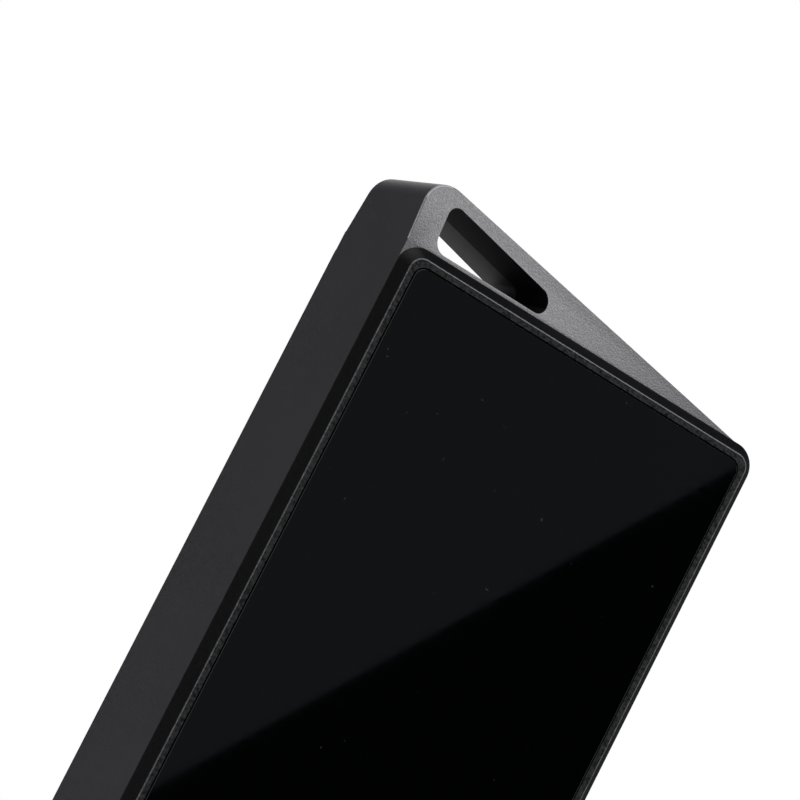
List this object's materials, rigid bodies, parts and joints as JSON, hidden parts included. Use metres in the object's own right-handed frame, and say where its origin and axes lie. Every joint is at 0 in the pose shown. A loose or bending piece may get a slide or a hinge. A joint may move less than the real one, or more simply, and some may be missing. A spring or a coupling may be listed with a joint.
{
  "type": "handheld translator",
  "caption": "Slim bar-shaped handheld translator with a glass back, a screen, two talk keys, side keys, a card tray and a wedge-shaped lanyard eye at one end.",
  "frame": {"origin": "centre of the flat end that the translator stands on, midway between the frame's front and back faces", "axes": "+Z along the length towards the lanyard eye, +Y out of the glass back, +X out of the bare side wall"},
  "size_m": [0.0461, 0.0163, 0.1249],
  "materials": {
    "frame_plastic": "fine matt texture",
    "cover_plastic": "satin",
    "black_glass": "polished black-backed glass",
    "screen": "dark screen film",
    "light_box": "white plastic",
    "adhesive": "adhesive film",
    "foam": "closed-cell foam",
    "flex": "polyimide film",
    "chassis_metal": "rolled sheet",
    "screw_steel": "zinc plated",
    "board_green": "solder mask",
    "chip_black": "moulded package",
    "shield_metal": "tinned",
    "plug_plastic": "moulded",
    "antenna_foil": "copper foil",
    "gold_pin": "plated",
    "socket_steel": "bright",
    "tray_plastic": "fine matt texture",
    "battery_foil": "foil pouch",
    "speaker_body": "moulded",
    "mesh_steel": "woven mesh",
    "rubber_black": "moulded",
    "key_plastic": "fine matt texture",
    "talk_plastic": "gloss",
    "dome_steel": "bright"
  },
  "bodies": {
    "housing": {"mid_frame": "frame_plastic", "rear_cover": "cover_plastic", "rear_glass": "black_glass", "rear_glass_adhesive": "adhesive", "cover_screws": "screw_steel", "front_cover": "cover_plastic", "front_glass": "black_glass", "front_glass_adhesive": "adhesive", "display_panel": "screen", "backlight_unit": "light_box", "display_foam": "foam", "display_flex": "flex", "chassis_plate": "chassis_metal", "chassis_screws": "screw_steel", "main_board": "board_green", "processor_chip": "chip_black", "memory_chip": "chip_black", "power_chip": "chip_black", "processor_shield": "shield_metal", "board_connectors": "plug_plastic", "board_screws": "screw_steel", "board_end_screws": "screw_steel", "antenna_carrier": "speaker_body", "antenna_flex": "antenna_foil", "antenna_contacts": "gold_pin", "usb_c_receptacle": "socket_steel", "sim_reader": "socket_steel", "battery_tape": "adhesive", "battery_cell": "battery_foil", "battery_lead": "flex", "speaker_module": "speaker_body", "speaker_mesh": "mesh_steel", "vibration_motor": "shield_metal", "bottom_microphone": "shield_metal", "microphone_boot": "rubber_black", "front_microphone": "shield_metal", "front_microphone_gasket": "rubber_black", "talk_key_board": "board_green", "talk_key_domes": "dome_steel", "talk_key_flex": "flex", "side_key_bracket": "chassis_metal", "side_key_flex": "flex", "side_key_domes": "dome_steel"},
    "power_key": {"power_key": "key_plastic"},
    "volume_up_key": {"volume_up_key": "key_plastic"},
    "volume_down_key": {"volume_down_key": "key_plastic"},
    "first_talk_key": {"first_talk_key": "talk_plastic"},
    "second_talk_key": {"second_talk_key": "talk_plastic"},
    "sim_tray": {"sim_tray": "tray_plastic"}
  },
  "joints": [
    {"name": "power_key_press", "type": "slide", "parent": "housing", "child": "power_key", "axis": [1, 0, 0], "range_m": [0, 0.00025], "stiffness_N_per_m": 6000},
    {"name": "volume_up_press", "type": "slide", "parent": "housing", "child": "volume_up_key", "axis": [1, 0, 0], "range_m": [0, 0.00025], "stiffness_N_per_m": 6000},
    {"name": "volume_down_press", "type": "slide", "parent": "housing", "child": "volume_down_key", "axis": [1, 0, 0], "range_m": [0, 0.00025], "stiffness_N_per_m": 6000},
    {"name": "first_talk_press", "type": "slide", "parent": "housing", "child": "first_talk_key", "axis": [0, 1, 0], "range_m": [0, 0.00035], "stiffness_N_per_m": 5000},
    {"name": "second_talk_press", "type": "slide", "parent": "housing", "child": "second_talk_key", "axis": [0, 1, 0], "range_m": [0, 0.00035], "stiffness_N_per_m": 5000},
    {"name": "sim_tray_slide", "type": "slide", "parent": "housing", "child": "sim_tray", "axis": [-1, 0, 0], "range_m": [0, 0.0125]}
  ]
}
